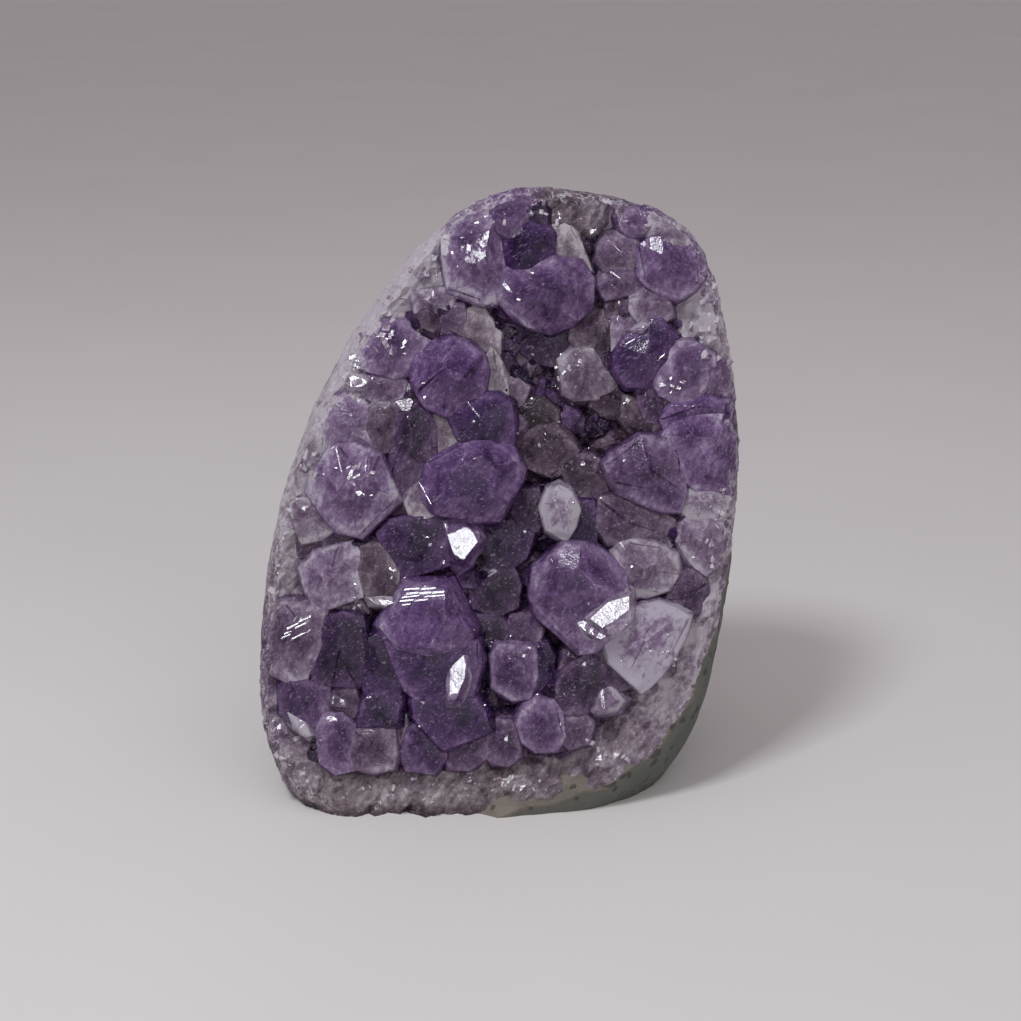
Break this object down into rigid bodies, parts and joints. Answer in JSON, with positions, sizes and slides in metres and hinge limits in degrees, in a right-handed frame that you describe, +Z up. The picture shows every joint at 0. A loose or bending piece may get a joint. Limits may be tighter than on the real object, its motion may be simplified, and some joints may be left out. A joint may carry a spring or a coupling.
{
  "type": "crystal cluster",
  "caption": "Amethyst crystal cluster on its rind of rock, with a rounded back and a flat sawn base that it stands on, crystals facing forward.",
  "frame": {"origin": "middle of the plan of the whole stone, on the sawn base that it stands on", "axes": "+Z up, along the stone's height; -Y towards the front, the side the crystals face; +X to the right seen from the front"},
  "size_m": [0.0708, 0.0472, 0.0873],
  "materials": {
    "amethyst": "natural crystal faces, glassy, with a ground rim",
    "basalt": "rough, matt"
  },
  "bodies": {
    "root": {"amethyst_crystals": "amethyst", "rock_matrix": "basalt"}
  },
  "joints": []
}
